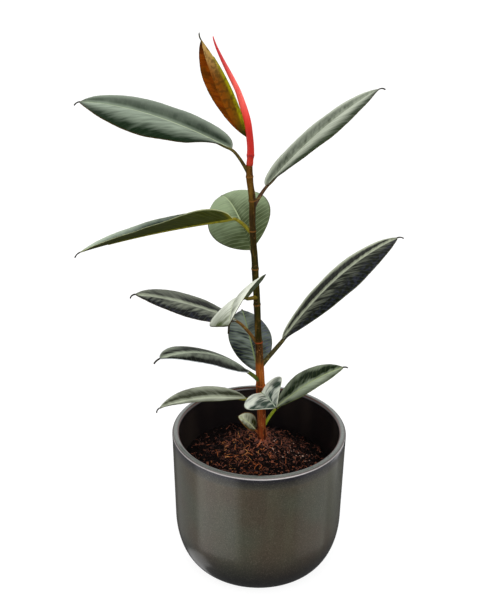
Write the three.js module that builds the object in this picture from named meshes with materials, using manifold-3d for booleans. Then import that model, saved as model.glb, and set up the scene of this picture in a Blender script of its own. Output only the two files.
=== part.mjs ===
// A young rubber plant (Ficus elastica) in a round glazed pot, standing on its own.
// Millimetres, +Z up, +X to the viewer's right, +Y away from the viewer.
// The origin is the centre of the pot's flat underside.
import * as THREE from "three";
import { mergeVertices } from "three/addons/utils/BufferGeometryUtils.js";
import Module from "manifold-3d";

const wasm = await Module();
wasm.setup();

// ---- Driving dimensions ----

// Clearance between pieces that touch on the real plant.
const GAP = 0.3;

// The pot is a bowl-footed cylinder: a nearly straight wall that turns in
// through a quarter ellipse, the heel, to a flat base.
const POT_RIM_RADIUS = 90;
const POT_HEIGHT = 153.6;
const POT_TAPER = 3.1;
const POT_HEEL_IN = 23.9;
const POT_HEEL_UP = 50.9;
const POT_WALL = 7.6;
const POT_FLOOR = 10;
const POT_SIDES = 40;

// Soil: mounded up round the stem with soft lumps, and sunk lower at one side of the wall.
const SOIL_WALL_LEVEL = 103;
const SOIL_WALL_TILT = 8;
const SOIL_HIGH_SIDE = 165;
const SOIL_PEAK_LEVEL = 132;
const SOIL_MOUND_REACH = 46;
const SOIL_LUMP = 1.4;
const SOIL_RINGS = 8;
const SOIL_SPOKES = 32;

// Stem: axis points as [x, z] in the plane y = STEM_Y, and radii as [radius, z].
const STEM_Y = 10;
const STEM_FOOT = 108;
const STEM_TOP = 437;
const STEM_AXIS = [
  [2.8, STEM_FOOT],
  [2.8, 150],
  [0.9, 200],
  [-1.8, 252],
  [-6.0, 331],
  [-9.0, 371],
  [-9.4, 402],
  [-12.5, 424],
  [-12.6, STEM_TOP],
];
const STEM_RADII = [
  [4.8, STEM_FOOT],
  [4.4, 150],
  [4.4, 215],
  [3.7, 245],
  [3.3, 262],
  [3.3, 331],
  [2.9, 371],
  [3.3, 402],
  [3.0, STEM_TOP],
];
const STEM_SIDES = 10;
const STEM_STEP = 14;

// Leaf scars: rings that stand a little proud of the stem.
const SCAR_HEIGHTS = [176, 192, 200, 250, 292, 331, 371, 402, 426];
const SCAR_PROUD = 0.6;
const SCAR_HALF = 1.6;

// Leaf blades. Each ends in a narrow drip tip that hooks down.
const BLADE_THICK = 0.8;
const BLADE_STRIPS = 4;
const BLADE_STEP = 12;
const BASE_HALF_WIDTH = 1.4;
const TIP_HALF_WIDTH = 0.9;
const OUTLINE_POWER = 0.68;
const OUTLINE_BELLY = 0.92;
const DROOP_POWER = 1.3;
const DRIP_LENGTH = 8;
const DRIP_SHARE = 0.07;
const DRIP_HOOK = [0, 24, 46];
const DRIP_HALF_WIDTHS = [TIP_HALF_WIDTH, 0.7, 0.4];
const PETIOLE_BEND = 0.22;
const RIB_SIDES = 6;
const RIB_END = 0.82;
const RIB_END_RADIUS = 0.5;

// One leaf a line pair. node: height of the petiole's root on the stem.
// petiole: [azimuth, rise, length, radius]. Azimuth 0 is +X, 90 is +Y.
// blade: azimuth and rise of its midrib where it starts, droop and sweep from
// there to the tip, and roll and twist about the midrib, all in degrees;
// fold is how far each half is lifted, edge how far the margin then hangs.
// belly below OUTLINE_BELLY moves the widest place towards the petiole;
// hook scales the bend of the drip tip, and turns it up when negative.
const LEAVES = [
  { name: "leaf_01", node: 427.5, petiole: [174, 55, 30, 1.7], azimuth: 151, rise: 16, droop: 22,
    sweep: 2, length: 174, width: 83, roll: -3, twist: 9, fold: 13, edge: 14 },
  { name: "leaf_02", node: 394, petiole: [49, 41, 26, 1.9], azimuth: 43, rise: 33, droop: 19,
    sweep: -4, length: 164, width: 74, roll: 26, twist: -7, fold: 10, edge: 8 },
  { name: "leaf_03", node: 367, petiole: [154, 30, 25, 1.9], azimuth: 170, rise: -14, droop: 5,
    sweep: 9, length: 159, width: 72, roll: -19, twist: 10, fold: 19, edge: 1.5, belly: 0.6 },
  { name: "leaf_04", node: 334, petiole: [100, 16, 25, 1.9], azimuth: 106, rise: 23, droop: 40,
    sweep: 0, length: 123, width: 68, roll: 31, twist: -8, fold: 2, edge: 6.5 },
  { name: "leaf_05", node: 300, petiole: [242, 20, 22, 2.0], azimuth: 258, rise: 33, droop: 43,
    sweep: 10, length: 121, width: 70, roll: -40, twist: -11, fold: 7, edge: 6 },
  { name: "leaf_06", node: 246, petiole: [174, 49, 35, 1.8], azimuth: 186, rise: 26, droop: 18,
    sweep: 0, length: 105, width: 58, roll: -4, twist: 4, fold: -2, edge: 1.5 },
  { name: "leaf_07", node: 221, petiole: [29, 44, 36, 2.5], azimuth: 31, rise: 47, droop: 36,
    sweep: 0, length: 164, width: 72, roll: 23, twist: -12, fold: 0, edge: 6.5 },
  { name: "leaf_08", node: 200, petiole: [100, 17, 19, 1.8], azimuth: 101, rise: 18, droop: 18,
    sweep: -2, length: 106, width: 46, roll: 6, twist: -8, fold: 5, edge: 1 },
  { name: "leaf_09", node: 204, petiole: [212, 47, 24, 2.2], azimuth: 215, rise: 43, droop: 42,
    sweep: 5, length: 116, width: 60, roll: 1, twist: -7, fold: 0, edge: 4.5 },
  { name: "leaf_10", node: 177, petiole: [186, 24, 17, 1.7], azimuth: 190, rise: 12, droop: 32,
    sweep: 1, length: 91, width: 50, roll: -10, twist: -4, fold: 13, edge: 2 },
  { name: "leaf_11", node: 146, petiole: [25, 54, 28, 1.9], azimuth: 17, rise: 39, droop: 27,
    sweep: 0, length: 82, width: 49, roll: 12, twist: -9, fold: 9, edge: 1 },
  { name: "leaf_12", node: 185, petiole: [271, 53, 12, 1.5], azimuth: 281, rise: 25, droop: 24,
    sweep: 10, length: 55, width: 56, roll: -31, twist: -8, fold: 32, edge: 9 },
  { name: "leaf_13", node: 137.5, petiole: [175, 47, 10, 1.2], azimuth: 178, rise: 54, droop: 26,
    sweep: 12, length: 25, width: 21, roll: 20, twist: 22, fold: 26, edge: 1 },
];

// The newest leaf, still folded along its midrib; its near half is narrower.
const YOUNG_LEAF = {
  name: "young_leaf", node: STEM_TOP, petiole: [179, 85, 32, 1.6], azimuth: 185, rise: 75, droop: 22,
  sweep: 4, length: 96, width: 50, roll: 182, twist: -9, fold: 52, edge: 0, near: 0.61, belly: 0.97,
  hook: -0.9,
};

// The red sheath that wrapped the newest leaf: axis points and radii as [x, y, z, radius].
const SHEATH = [
  [-12.5, 10, STEM_TOP + GAP, 3.1],
  [-11.6, 10, 448, 3.3],
  [-11.7, 10.2, 456, 3.2],
  [-12.7, 10.6, 465, 3.2],
  [-14.6, 11, 478, 3.5],
  [-17.8, 11.4, 490, 3.3],
  [-23.6, 11.6, 508, 2.5],
  [-31.2, 11.6, 523, 2.2],
  [-38.8, 11.4, 538, 1.5],
  [-44.6, 11, 551, 0.9],
  [-46, 10.8, 557, 0.5],
];
const SHEATH_SIDES = 10;

const Z = new THREE.Vector3(0, 0, 1);
const rad = THREE.MathUtils.degToRad;

// ---- Helpers ----

// Value at height z in a list of [value, height] pairs, straight between them.
function atHeight(pairs, z) {
  const last = pairs.length - 1;
  if (z <= pairs[0][1]) return pairs[0][0];
  if (z >= pairs[last][1]) return pairs[last][0];
  const above = pairs.findIndex((pair) => pair[1] > z);
  const [v0, z0] = pairs[above - 1];
  const [v1, z1] = pairs[above];
  return THREE.MathUtils.mapLinear(z, z0, z1, v0, v1);
}

// A closed geometry as a solid that can be joined and cut.
function toSolid(geometry) {
  const bare = geometry.clone();
  bare.deleteAttribute("normal");
  bare.deleteAttribute("uv");
  const merged = mergeVertices(bare, 1e-4);
  return new wasm.Manifold(
    new wasm.Mesh({
      numProp: 3,
      vertProperties: merged.attributes.position.array,
      triVerts: new Uint32Array(merged.index.array),
    }),
  );
}

// A solid as a geometry again.
function toGeometry(solid) {
  const mesh = solid.getMesh();
  const geometry = new THREE.BufferGeometry();
  geometry.setAttribute("position", new THREE.BufferAttribute(mesh.vertProperties, 3));
  geometry.setIndex(new THREE.BufferAttribute(mesh.triVerts, 1));
  return geometry;
}

// The largest body of a solid, without the slivers that a cut can leave.
function largestBody(solid) {
  return solid.decompose().reduce((best, body) => (body.volume() > best.volume() ? body : best));
}

function fromPoints(points, triangles) {
  const geometry = new THREE.BufferGeometry().setFromPoints(points);
  geometry.setIndex(triangles);
  return geometry;
}

// A tube with round sections of changing radius through a list of points.
function taperedTube(points, radii, sides) {
  const side = new THREE.Vector3(0, 1, 0);
  const vertices = [];
  points.forEach((point, k) => {
    const before = points[Math.max(k - 1, 0)];
    const after = points[Math.min(k + 1, points.length - 1)];
    const along = after.clone().sub(before).normalize();
    const u = side.clone().addScaledVector(along, -side.dot(along)).normalize();
    const v = along.clone().cross(u);
    side.copy(u);
    for (let i = 0; i < sides; i++) {
      const angle = (2 * Math.PI * i) / sides;
      vertices.push(
        point
          .clone()
          .addScaledVector(u, radii[k] * Math.cos(angle))
          .addScaledVector(v, radii[k] * Math.sin(angle)),
      );
    }
  });
  const triangles = [];
  for (let k = 0; k < points.length - 1; k++) {
    for (let i = 0; i < sides; i++) {
      const a = k * sides + i;
      const b = k * sides + ((i + 1) % sides);
      triangles.push(a, b, b + sides);
      triangles.push(a, b + sides, a + sides);
    }
  }
  const lastRing = (points.length - 1) * sides;
  for (let i = 1; i < sides - 1; i++) {
    triangles.push(0, i + 1, i);
    triangles.push(lastRing, lastRing + i, lastRing + i + 1);
  }
  return fromPoints(vertices, triangles);
}

// ---- Pot ----

// Outer radius of the pot at height z; depth is how far inside that surface.
function potRadius(z, depth = 0) {
  const wall = POT_RIM_RADIUS - (POT_TAPER * (POT_HEIGHT - z)) / POT_HEIGHT;
  if (z >= POT_HEEL_UP) return wall - depth;
  const fall = 1 - (z - depth) / (POT_HEEL_UP - depth);
  const heel = POT_HEEL_IN * (1 - Math.sqrt(Math.max(0, 1 - fall * fall)));
  return wall - heel - depth;
}

function potGeometry() {
  const profile = [new THREE.Vector2(0, 0)];
  const heelSteps = 7;
  for (let k = 0; k <= heelSteps; k++) {
    const z = POT_HEEL_UP * (1 - Math.cos((k * Math.PI) / 2 / heelSteps));
    profile.push(new THREE.Vector2(potRadius(z), z));
  }
  const lip = POT_WALL / 2;
  const lipSteps = 4;
  for (let k = 0; k <= lipSteps; k++) {
    const angle = (k * Math.PI) / lipSteps;
    profile.push(
      new THREE.Vector2(
        POT_RIM_RADIUS - lip + lip * Math.cos(angle),
        POT_HEIGHT - lip + lip * Math.sin(angle),
      ),
    );
  }
  const insideSteps = 6;
  for (let k = insideSteps; k >= 0; k--) {
    const z = POT_FLOOR + (POT_HEEL_UP - POT_FLOOR) * (1 - Math.cos((k * Math.PI) / 2 / insideSteps));
    profile.push(new THREE.Vector2(potRadius(z, POT_WALL), z));
  }
  profile.push(new THREE.Vector2(0, POT_FLOOR));
  // The lathe turns about Y with its profile's y up, so it is stood on +Z.
  return new THREE.LatheGeometry(profile, POT_SIDES).rotateX(Math.PI / 2);
}

// ---- Soil ----

// Height of the soil's surface.
function soilHeight(x, y) {
  const fromStem = Math.hypot(x - STEM_AXIS[0][0], y - STEM_Y) / SOIL_MOUND_REACH;
  const highSide = rad(SOIL_HIGH_SIDE);
  const tilt = (SOIL_WALL_TILT * (x * Math.cos(highSide) + y * Math.sin(highSide))) / POT_RIM_RADIUS;
  const mound = (SOIL_PEAK_LEVEL - SOIL_WALL_LEVEL) * Math.exp(-fromStem * fromStem);
  const lumps = Math.sin(x / 7 + 1) * Math.cos(y / 6) + Math.sin(x / 13 - y / 9);
  return SOIL_WALL_LEVEL + tilt + mound + (SOIL_LUMP / 2) * lumps;
}

function soilGeometry() {
  const vertices = [];
  const addRing = (radius, height) => {
    for (let i = 0; i < SOIL_SPOKES; i++) {
      const angle = (2 * Math.PI * i) / SOIL_SPOKES;
      const x = radius * Math.cos(angle);
      const y = radius * Math.sin(angle);
      vertices.push(new THREE.Vector3(x, y, height(x, y)));
    }
  };
  const wallRadius = (z) => potRadius(z, POT_WALL + 2 * GAP);
  const bottom = POT_FLOOR + GAP;
  const heelSteps = 5;
  for (let k = 0; k <= heelSteps; k++) {
    const z = bottom + (POT_HEEL_UP - bottom) * (1 - Math.cos((k * Math.PI) / 2 / heelSteps));
    addRing(wallRadius(z), () => z);
  }
  const topRadius = wallRadius(SOIL_WALL_LEVEL);
  for (let k = SOIL_RINGS; k >= 1; k--) addRing((topRadius * k) / SOIL_RINGS, soilHeight);
  const rings = vertices.length / SOIL_SPOKES;
  const bottomCentre = vertices.length;
  const topCentre = bottomCentre + 1;
  vertices.push(new THREE.Vector3(0, 0, bottom), new THREE.Vector3(0, 0, soilHeight(0, 0)));
  const triangles = [];
  for (let i = 0; i < SOIL_SPOKES; i++) {
    const next = (i + 1) % SOIL_SPOKES;
    triangles.push(bottomCentre, next, i);
    for (let k = 0; k < rings - 1; k++) {
      const a = k * SOIL_SPOKES + i;
      const b = k * SOIL_SPOKES + next;
      triangles.push(a, b, b + SOIL_SPOKES);
      triangles.push(a, b + SOIL_SPOKES, a + SOIL_SPOKES);
    }
    const lastRing = (rings - 1) * SOIL_SPOKES;
    triangles.push(lastRing + i, lastRing + next, topCentre);
  }
  return fromPoints(vertices, triangles);
}

// ---- Stem ----

function stemPoint(z) {
  return new THREE.Vector3(atHeight(STEM_AXIS, z), STEM_Y, z);
}

function stemRadius(z) {
  const scar = SCAR_HEIGHTS.some((height) => Math.abs(height - z) < 0.01);
  return atHeight(STEM_RADII, z) + (scar ? SCAR_PROUD : 0);
}

// The stem, or the room it needs when extra is above 0.
function stemGeometry(extra = 0) {
  const heights = new Set();
  for (let z = STEM_FOOT; z < STEM_TOP - STEM_STEP / 2; z += STEM_STEP) heights.add(z);
  for (const z of SCAR_HEIGHTS) {
    for (const near of heights) {
      if (Math.abs(near - z) < 2 * SCAR_HALF && near !== STEM_FOOT) heights.delete(near);
    }
    for (const offset of [-SCAR_HALF, 0, SCAR_HALF]) heights.add(z + offset);
  }
  heights.add(STEM_TOP);
  const stations = [...heights].sort((a, b) => a - b);
  const points = stations.map(stemPoint);
  const radii = stations.map((z) => stemRadius(z) + extra);
  points[0].z -= extra;
  points[points.length - 1].z += extra;
  return taperedTube(points, radii, STEM_SIDES);
}

// ---- Leaves ----

function direction(azimuth, rise) {
  const flat = Math.cos(rad(rise));
  return new THREE.Vector3(
    flat * Math.cos(rad(azimuth)),
    flat * Math.sin(rad(azimuth)),
    Math.sin(rad(rise)),
  );
}

// Half-width of the blade at s, from 0 at the petiole to 1 where the drip tip starts.
function halfWidth(leaf, s) {
  const outline = Math.sin(Math.PI * s ** (leaf.belly ?? OUTLINE_BELLY)) ** OUTLINE_POWER;
  const least = THREE.MathUtils.lerp(BASE_HALF_WIDTH, TIP_HALF_WIDTH, s);
  return Math.max((leaf.width / 2) * (outline || 0), least);
}

// A station of the midrib: its frame (along, side and up) and the blade's half-width there.
function station(leaf, s, centre, along, half) {
  const turn = rad(leaf.roll + leaf.twist * s);
  const level = along.clone().cross(Z).normalize();
  const above = level.clone().cross(along);
  const side = level.clone().multiplyScalar(Math.cos(turn)).addScaledVector(above, Math.sin(turn));
  const up = above.clone().multiplyScalar(Math.cos(turn)).addScaledVector(level, -Math.sin(turn));
  return { s, centre: centre.clone(), along, side, up, half };
}

// The petiole's root and the midrib's stations, out to the end of the drip tip.
function midrib(leaf) {
  const [azimuth, rise, length] = leaf.petiole;
  const steps = Math.max(8, Math.round(leaf.length / BLADE_STEP));
  const root = stemPoint(leaf.node);
  const centre = root.clone().addScaledVector(direction(azimuth, rise), length);
  const stations = [];
  let before = null;
  for (let k = 0; k <= steps; k++) {
    const s = k / steps;
    const along = direction(
      leaf.azimuth + leaf.sweep * s,
      leaf.rise - leaf.droop * s ** DROOP_POWER,
    );
    if (before) centre.addScaledVector(before.clone().add(along), leaf.length / steps / 2);
    before = along;
    stations.push(station(leaf, s, centre, along, halfWidth(leaf, s)));
  }
  const dripStep = Math.min(DRIP_LENGTH, DRIP_SHARE * leaf.length) / (DRIP_HOOK.length - 1);
  for (let k = 1; k < DRIP_HOOK.length; k++) {
    const hook = DRIP_HOOK[k] * (leaf.hook ?? 1);
    const along = direction(leaf.azimuth + leaf.sweep, leaf.rise - leaf.droop - hook);
    centre.addScaledVector(along, dripStep);
    stations.push(station(leaf, 1, centre, along, DRIP_HALF_WIDTHS[k]));
  }
  return { root, stations };
}

// The blade: an upper and a lower face split into triangles alike.
function bladeGeometry(leaf, stations, extra) {
  const fold = rad(leaf.fold);
  const hang = leaf.edge / (leaf.width / 2) ** 2;
  const half = BLADE_THICK / 2 + extra;
  const columns = BLADE_STRIPS + 1;
  const upper = [];
  const lower = [];
  for (const { centre, side, up, half: halfWide } of stations) {
    for (let i = 0; i < columns; i++) {
      const t = (2 * i) / BLADE_STRIPS - 1;
      const share = t > 0 ? (leaf.near ?? 1) : 1;
      const reach = Math.abs(t) * (halfWide * share + extra);
      const slope = Math.sin(fold) - 2 * hang * reach;
      const point = centre
        .clone()
        .addScaledVector(side, Math.sign(t) * reach * Math.cos(fold))
        .addScaledVector(up, reach * Math.sin(fold) - hang * reach * reach);
      const normal = up.clone();
      if (t === 0) {
        normal.divideScalar(Math.cos(fold));
      } else {
        normal.multiplyScalar(Math.cos(fold)).addScaledVector(side, -Math.sign(t) * slope).normalize();
      }
      upper.push(point.clone().addScaledVector(normal, half));
      lower.push(point.clone().addScaledVector(normal, -half));
    }
  }
  const count = upper.length;
  const rows = stations.length;
  const triangles = [];
  for (let k = 0; k < rows - 1; k++) {
    for (let i = 0; i < BLADE_STRIPS; i++) {
      const a = k * columns + i;
      const b = a + columns;
      triangles.push(a, a + 1, b + 1);
      triangles.push(a, b + 1, b);
      triangles.push(count + a, count + b + 1, count + a + 1);
      triangles.push(count + a, count + b, count + b + 1);
    }
    const left = k * columns;
    const right = left + BLADE_STRIPS;
    triangles.push(left, left + columns, count + left + columns);
    triangles.push(left, count + left + columns, count + left);
    triangles.push(right, count + right, count + right + columns);
    triangles.push(right, count + right + columns, right + columns);
  }
  for (let i = 0; i < BLADE_STRIPS; i++) {
    const end = (rows - 1) * columns + i;
    triangles.push(i, count + i, count + i + 1);
    triangles.push(i, count + i + 1, i + 1);
    triangles.push(end, end + 1, count + end + 1);
    triangles.push(end, count + end + 1, count + end);
  }
  return fromPoints([...upper, ...lower], triangles);
}

// The petiole, bent into the line of the midrib, and the rib that it becomes under the blade.
function ribGeometry(leaf, root, stations, extra) {
  const [, , length, radius] = leaf.petiole;
  const first = stations[0];
  const bend = first.centre.clone().addScaledVector(first.along, -PETIOLE_BEND * length);
  const petiole = new THREE.QuadraticBezierCurve3(root, bend, first.centre);
  const bladeRadius = 0.8 * radius;
  const points = [];
  const radii = [];
  const petioleSteps = 5;
  for (let k = 0; k < petioleSteps; k++) {
    const u = k / petioleSteps;
    points.push(petiole.getPoint(u).addScaledVector(first.up, -0.4 * bladeRadius * u));
    radii.push(THREE.MathUtils.lerp(radius, bladeRadius, u) + extra);
  }
  for (const { s, centre, up } of stations) {
    if (s > RIB_END) break;
    const ribRadius = THREE.MathUtils.lerp(bladeRadius, RIB_END_RADIUS, Math.sqrt(s / RIB_END));
    points.push(centre.clone().addScaledVector(up, -0.4 * ribRadius));
    radii.push(ribRadius + extra);
  }
  return taperedTube(points, radii, RIB_SIDES);
}

// A whole leaf as one solid, or the room it needs when extra is above 0.
function leafSolid(leaf, extra = 0) {
  const { root, stations } = midrib(leaf);
  const blade = toSolid(bladeGeometry(leaf, stations, extra));
  return blade.add(toSolid(ribGeometry(leaf, root, stations, extra)));
}

// ---- Sheath ----

// The sheath, or the room it needs when extra is above 0.
function sheathSolid(extra = 0) {
  const points = SHEATH.map(([x, y, z]) => new THREE.Vector3(x, y, z));
  const radii = SHEATH.map(([, , , radius]) => radius + extra);
  return toSolid(taperedTube(points, radii, SHEATH_SIDES));
}

// ---- Assembly ----

function material(color, roughness, metalness = 0) {
  return new THREE.MeshStandardMaterial({ color, roughness, metalness });
}

const POT_GLAZE = material("#55544b", 0.32, 0.15);
const SOIL_BROWN = material("#3a211a", 0.95);
const BARK = material("#7a4a24", 0.7);
const OLD_LEAF = material("#39463c", 0.42);
const PALE_LEAF = material("#9aa896", 0.4);
const BRONZE_LEAF = material("#7a4a18", 0.4);
const SHEATH_RED = material("#dc3440", 0.45);

const plant = new THREE.Group();

function addPiece(name, geometry, look) {
  const mesh = new THREE.Mesh(geometry, look);
  mesh.name = name;
  plant.add(mesh);
}

const stemRoom = toSolid(stemGeometry(GAP));

addPiece("pot", potGeometry(), POT_GLAZE);
addPiece("soil", toGeometry(toSolid(soilGeometry()).subtract(stemRoom)), SOIL_BROWN);
addPiece("stem", stemGeometry(), BARK);
for (const leaf of LEAVES) {
  const look = leaf.name === "leaf_05" || leaf.name === "leaf_12" ? PALE_LEAF : OLD_LEAF;
  addPiece(leaf.name, toGeometry(leafSolid(leaf).subtract(stemRoom)), look);
}
// The newest leaf comes out of the side of its sheath, and the sheath is notched
// over the petiole of the leaf below.
const youngLeaf = leafSolid(YOUNG_LEAF).subtract(sheathSolid(GAP)).subtract(stemRoom);
addPiece("young_leaf", toGeometry(largestBody(youngLeaf)), BRONZE_LEAF);
const sheath = sheathSolid().subtract(leafSolid(LEAVES[0], GAP)).subtract(stemRoom);
addPiece("sheath", toGeometry(largestBody(sheath)), SHEATH_RED);

export default plant;
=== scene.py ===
"""Looks of a young rubber plant (Ficus elastica) in a round glazed pot.

Lengths are millimetres, +Z up, with the origin under the middle of the pot, and
become metres where a mesh, a light or the camera is made. Angles are degrees.
"""
import math
from itertools import combinations
from types import SimpleNamespace

import bpy
import numpy as np
from mathutils import Matrix, Vector, noise


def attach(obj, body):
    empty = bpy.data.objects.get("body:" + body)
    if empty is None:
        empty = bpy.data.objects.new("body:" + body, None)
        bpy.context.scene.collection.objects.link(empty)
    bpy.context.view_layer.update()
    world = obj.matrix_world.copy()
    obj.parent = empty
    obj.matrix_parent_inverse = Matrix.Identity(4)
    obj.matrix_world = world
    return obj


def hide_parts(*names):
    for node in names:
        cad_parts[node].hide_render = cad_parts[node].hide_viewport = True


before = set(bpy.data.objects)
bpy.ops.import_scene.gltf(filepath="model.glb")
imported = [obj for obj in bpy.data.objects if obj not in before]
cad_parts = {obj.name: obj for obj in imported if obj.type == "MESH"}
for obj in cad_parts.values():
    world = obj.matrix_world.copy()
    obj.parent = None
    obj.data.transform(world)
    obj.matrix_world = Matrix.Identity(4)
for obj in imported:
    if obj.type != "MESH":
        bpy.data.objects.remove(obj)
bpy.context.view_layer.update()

MM = 0.001
UP = np.array([0.0, 0.0, 1.0])

# ---- Driving dimensions, the same as the solids' ----

POT_RIM_RADIUS = 90
POT_HEIGHT = 153.6
POT_TAPER = 3.1
POT_HEEL_IN = 23.9
POT_HEEL_UP = 50.9
POT_WALL = 7.6
POT_FLOOR = 10

SOIL_WALL_LEVEL = 103
SOIL_WALL_TILT = 8
SOIL_HIGH_SIDE = 165
SOIL_PEAK_LEVEL = 132
SOIL_MOUND_REACH = 46
SOIL_LUMP = 1.4
SOIL_CLEARANCE = 0.6

STEM_Y = 10
STEM_FOOT = 108
STEM_TOP = 437
STEM_AXIS = [
    (2.8, STEM_FOOT), (2.8, 150), (0.9, 200), (-1.8, 252), (-6.0, 331),
    (-9.0, 371), (-9.4, 402), (-12.5, 424), (-12.6, STEM_TOP),
]
STEM_RADII = [
    (4.8, STEM_FOOT), (4.4, 150), (4.4, 215), (3.7, 245), (3.3, 262),
    (3.3, 331), (2.9, 371), (3.3, 402), (3.0, STEM_TOP),
]
SCAR_HEIGHTS = [176, 192, 200, 250, 292, 331, 371, 402, 426]
SCAR_PROUD = 0.6
# A scar's sharp ring and the swelling round it: share of SCAR_PROUD and half-height of each.
SCAR_FORMS = [(0.75, 1.1), (0.25, 5)]

BLADE_THICK = 0.8
BASE_HALF_WIDTH = 1.4
TIP_HALF_WIDTH = 0.9
OUTLINE_POWER = 0.68
OUTLINE_BELLY = 0.92
DROOP_POWER = 1.3
DRIP_LENGTH = 9
DRIP_SHARE = 0.07
DRIP_HOOK = 46
DRIP_END_HALF_WIDTH = 0.65
PETIOLE_BEND = 0.22
RIB_END = 0.82
RIB_END_RADIUS = 0.5

# One leaf an entry: height of its node on the stem, then the petiole's azimuth, rise, length and
# radius, then the blade's azimuth, rise, droop, sweep, length, width, roll, twist, fold and edge.
LEAF_FIELDS = ("azimuth", "rise", "droop", "sweep", "length", "width", "roll", "twist", "fold", "edge")
LEAVES = {
    "leaf_01": (427.5, (174, 55, 30, 1.7), (151, 16, 22, 2, 174, 83, -3, 9, 13, 14)),
    "leaf_02": (394, (49, 41, 26, 1.9), (43, 33, 19, -4, 164, 74, 26, -7, 10, 8)),
    "leaf_03": (367, (154, 30, 25, 1.9), (170, -14, 5, 9, 159, 72, -19, 10, 19, 1.5)),
    "leaf_04": (334, (100, 16, 25, 1.9), (106, 23, 40, 0, 123, 68, 31, -8, 2, 6.5)),
    "leaf_05": (300, (242, 20, 22, 2.0), (258, 33, 43, 10, 121, 70, -40, -11, 7, 6)),
    "leaf_06": (246, (174, 49, 35, 1.8), (186, 26, 18, 0, 105, 58, -4, 4, -2, 1.5)),
    "leaf_07": (221, (29, 44, 36, 2.5), (31, 47, 36, 0, 164, 72, 23, -12, 0, 6.5)),
    "leaf_08": (200, (100, 17, 19, 1.8), (101, 18, 18, -2, 106, 46, 6, -8, 5, 1)),
    "leaf_09": (204, (212, 47, 24, 2.2), (215, 43, 42, 5, 116, 60, 1, -7, 0, 4.5)),
    "leaf_10": (177, (186, 24, 17, 1.7), (190, 12, 32, 1, 91, 50, -10, -4, 13, 2)),
    "leaf_11": (146, (25, 54, 28, 1.9), (17, 39, 27, 0, 82, 49, 12, -9, 9, 1)),
    "leaf_12": (185, (271, 53, 12, 1.5), (281, 25, 24, 10, 55, 56, -31, -8, 32, 9)),
    "leaf_13": (137.5, (175, 47, 10, 1.2), (178, 54, 26, 12, 25, 21, 20, 22, 26, 1)),
    "young_leaf": (STEM_TOP, (179, 85, 27, 1.6), (185, 75, 22, 4, 101, 50, 182, -9, 52, 0)),
}
MARGIN_WIDE = 1.3
# What is the same for most leaves: where the blade is widest, how its tip hooks, how wide the right half
# is, how far the left half's margin is turned up near the base, the half that narrows there, by how much
# and how far along, how far along the midrib turns pale above, and how wide the margin's colour is below.
LEAF_PLAIN = {
    "belly": OUTLINE_BELLY, "hook": 1, "near": 1, "cup": 0, "tuck": (0, 0, 1), "rib_from": -9,
    "margin": MARGIN_WIDE,
}
LEAF_EXTRAS = {
    "leaf_01": {"tuck": (-1, 0.75, 0.2)},
    "leaf_06": {"hook": 1.8},
    "leaf_10": {"hook": 1.5},
    "leaf_03": {"belly": 0.6, "cup": 6, "tuck": (1, 0.7, 0.16), "margin": 2.6},
    "leaf_04": {"rib_from": 44.0},
    "young_leaf": {"belly": 0.97, "hook": -0.9, "near": 0.61},
}

# The red sheath's axis points and radii: x, y, z, radius.
SHEATH = [
    (-12.5, 10, 437.3, 3.1), (-11.6, 10, 448, 3.3), (-11.7, 10.2, 456, 3.2), (-12.7, 10.6, 465, 3.2),
    (-14.6, 11, 478, 3.5), (-17.8, 11.4, 490, 3.3), (-23.6, 11.6, 508, 2.5), (-31.2, 11.6, 523, 2.2),
    (-38.8, 11.4, 538, 1.5), (-44.6, 11, 551, 0.9), (-46, 10.8, 557, 0.5),
]
SHEATH_KINK = 447

# ---- Fineness of the dressed surfaces, and how far their bends are eased ----

POT_SIDES = 192
POT_BASE_RADII = [0.5, 30]
POT_HEEL_STATIONS = 28
POT_WALL_STATIONS = 24
POT_LIP_STATIONS = 22
POT_INSIDE_STATIONS = 16
SOIL_SIDE_STATIONS = 8
SOIL_SPOKES = 200
SOIL_RINGS = 80
BLADE_STATIONS = 120
BLADE_HALF_COLUMNS = 20
DRIP_STATIONS = 8
TUBE_SIDES = 20
PETIOLE_STATIONS = 16
STEM_STATION_STEP = 1.0
STEM_SIDES = 28
STEM_EASED_OVER = np.linspace(-7, 7, 9)
SHEATH_STATIONS = 90
SHEATH_SIDES = 28
SHEATH_EASED_OVER = np.linspace(-5, 5, 7)

# ---- Helpers: shapes ----


def smooth_step(x):
    """0 to 1 with a gentle start and end, for x from 0 to 1."""
    x = np.clip(x, 0, 1)
    return x * x * (3 - 2 * x)


def eased(count, share):
    """Numbers from 0 to 1, by a share drawn closer together at both ends."""
    even = np.linspace(0, 1, count)
    return smooth_step(even) * share + even * (1 - share)


def direction(azimuth, rise):
    """Unit vectors for angles in degrees; azimuth 0 is +X and 90 is +Y."""
    azimuth, rise = np.radians(azimuth), np.radians(rise)
    flat = np.cos(rise)
    return np.stack([flat * np.cos(azimuth), flat * np.sin(azimuth), np.sin(rise)], -1)


def between(start, end, share):
    return start + (end - start) * share


def run_along(points):
    """How far along a line of points each one is."""
    return np.concatenate([[0], np.cumsum(np.linalg.norm(np.diff(points, axis=0), axis=1))])


def unit(vectors):
    return vectors / np.linalg.norm(vectors, axis=-1, keepdims=True)


def bump_at(x, centre, half):
    """A soft bump, 1 at centre and near 0 beyond twice the half-width."""
    return np.exp(-(((x - centre) / half) ** 2))


def ring_faces(count, sides):
    """Faces that join each of count rings of points to the next, by point numbers."""
    return [
        (ring + side, ring + after, ring + after + sides, ring + side + sides)
        for ring in range(0, (count - 1) * sides, sides)
        for side, after in zip(range(sides), [*range(1, sides), 0])
    ]


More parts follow.
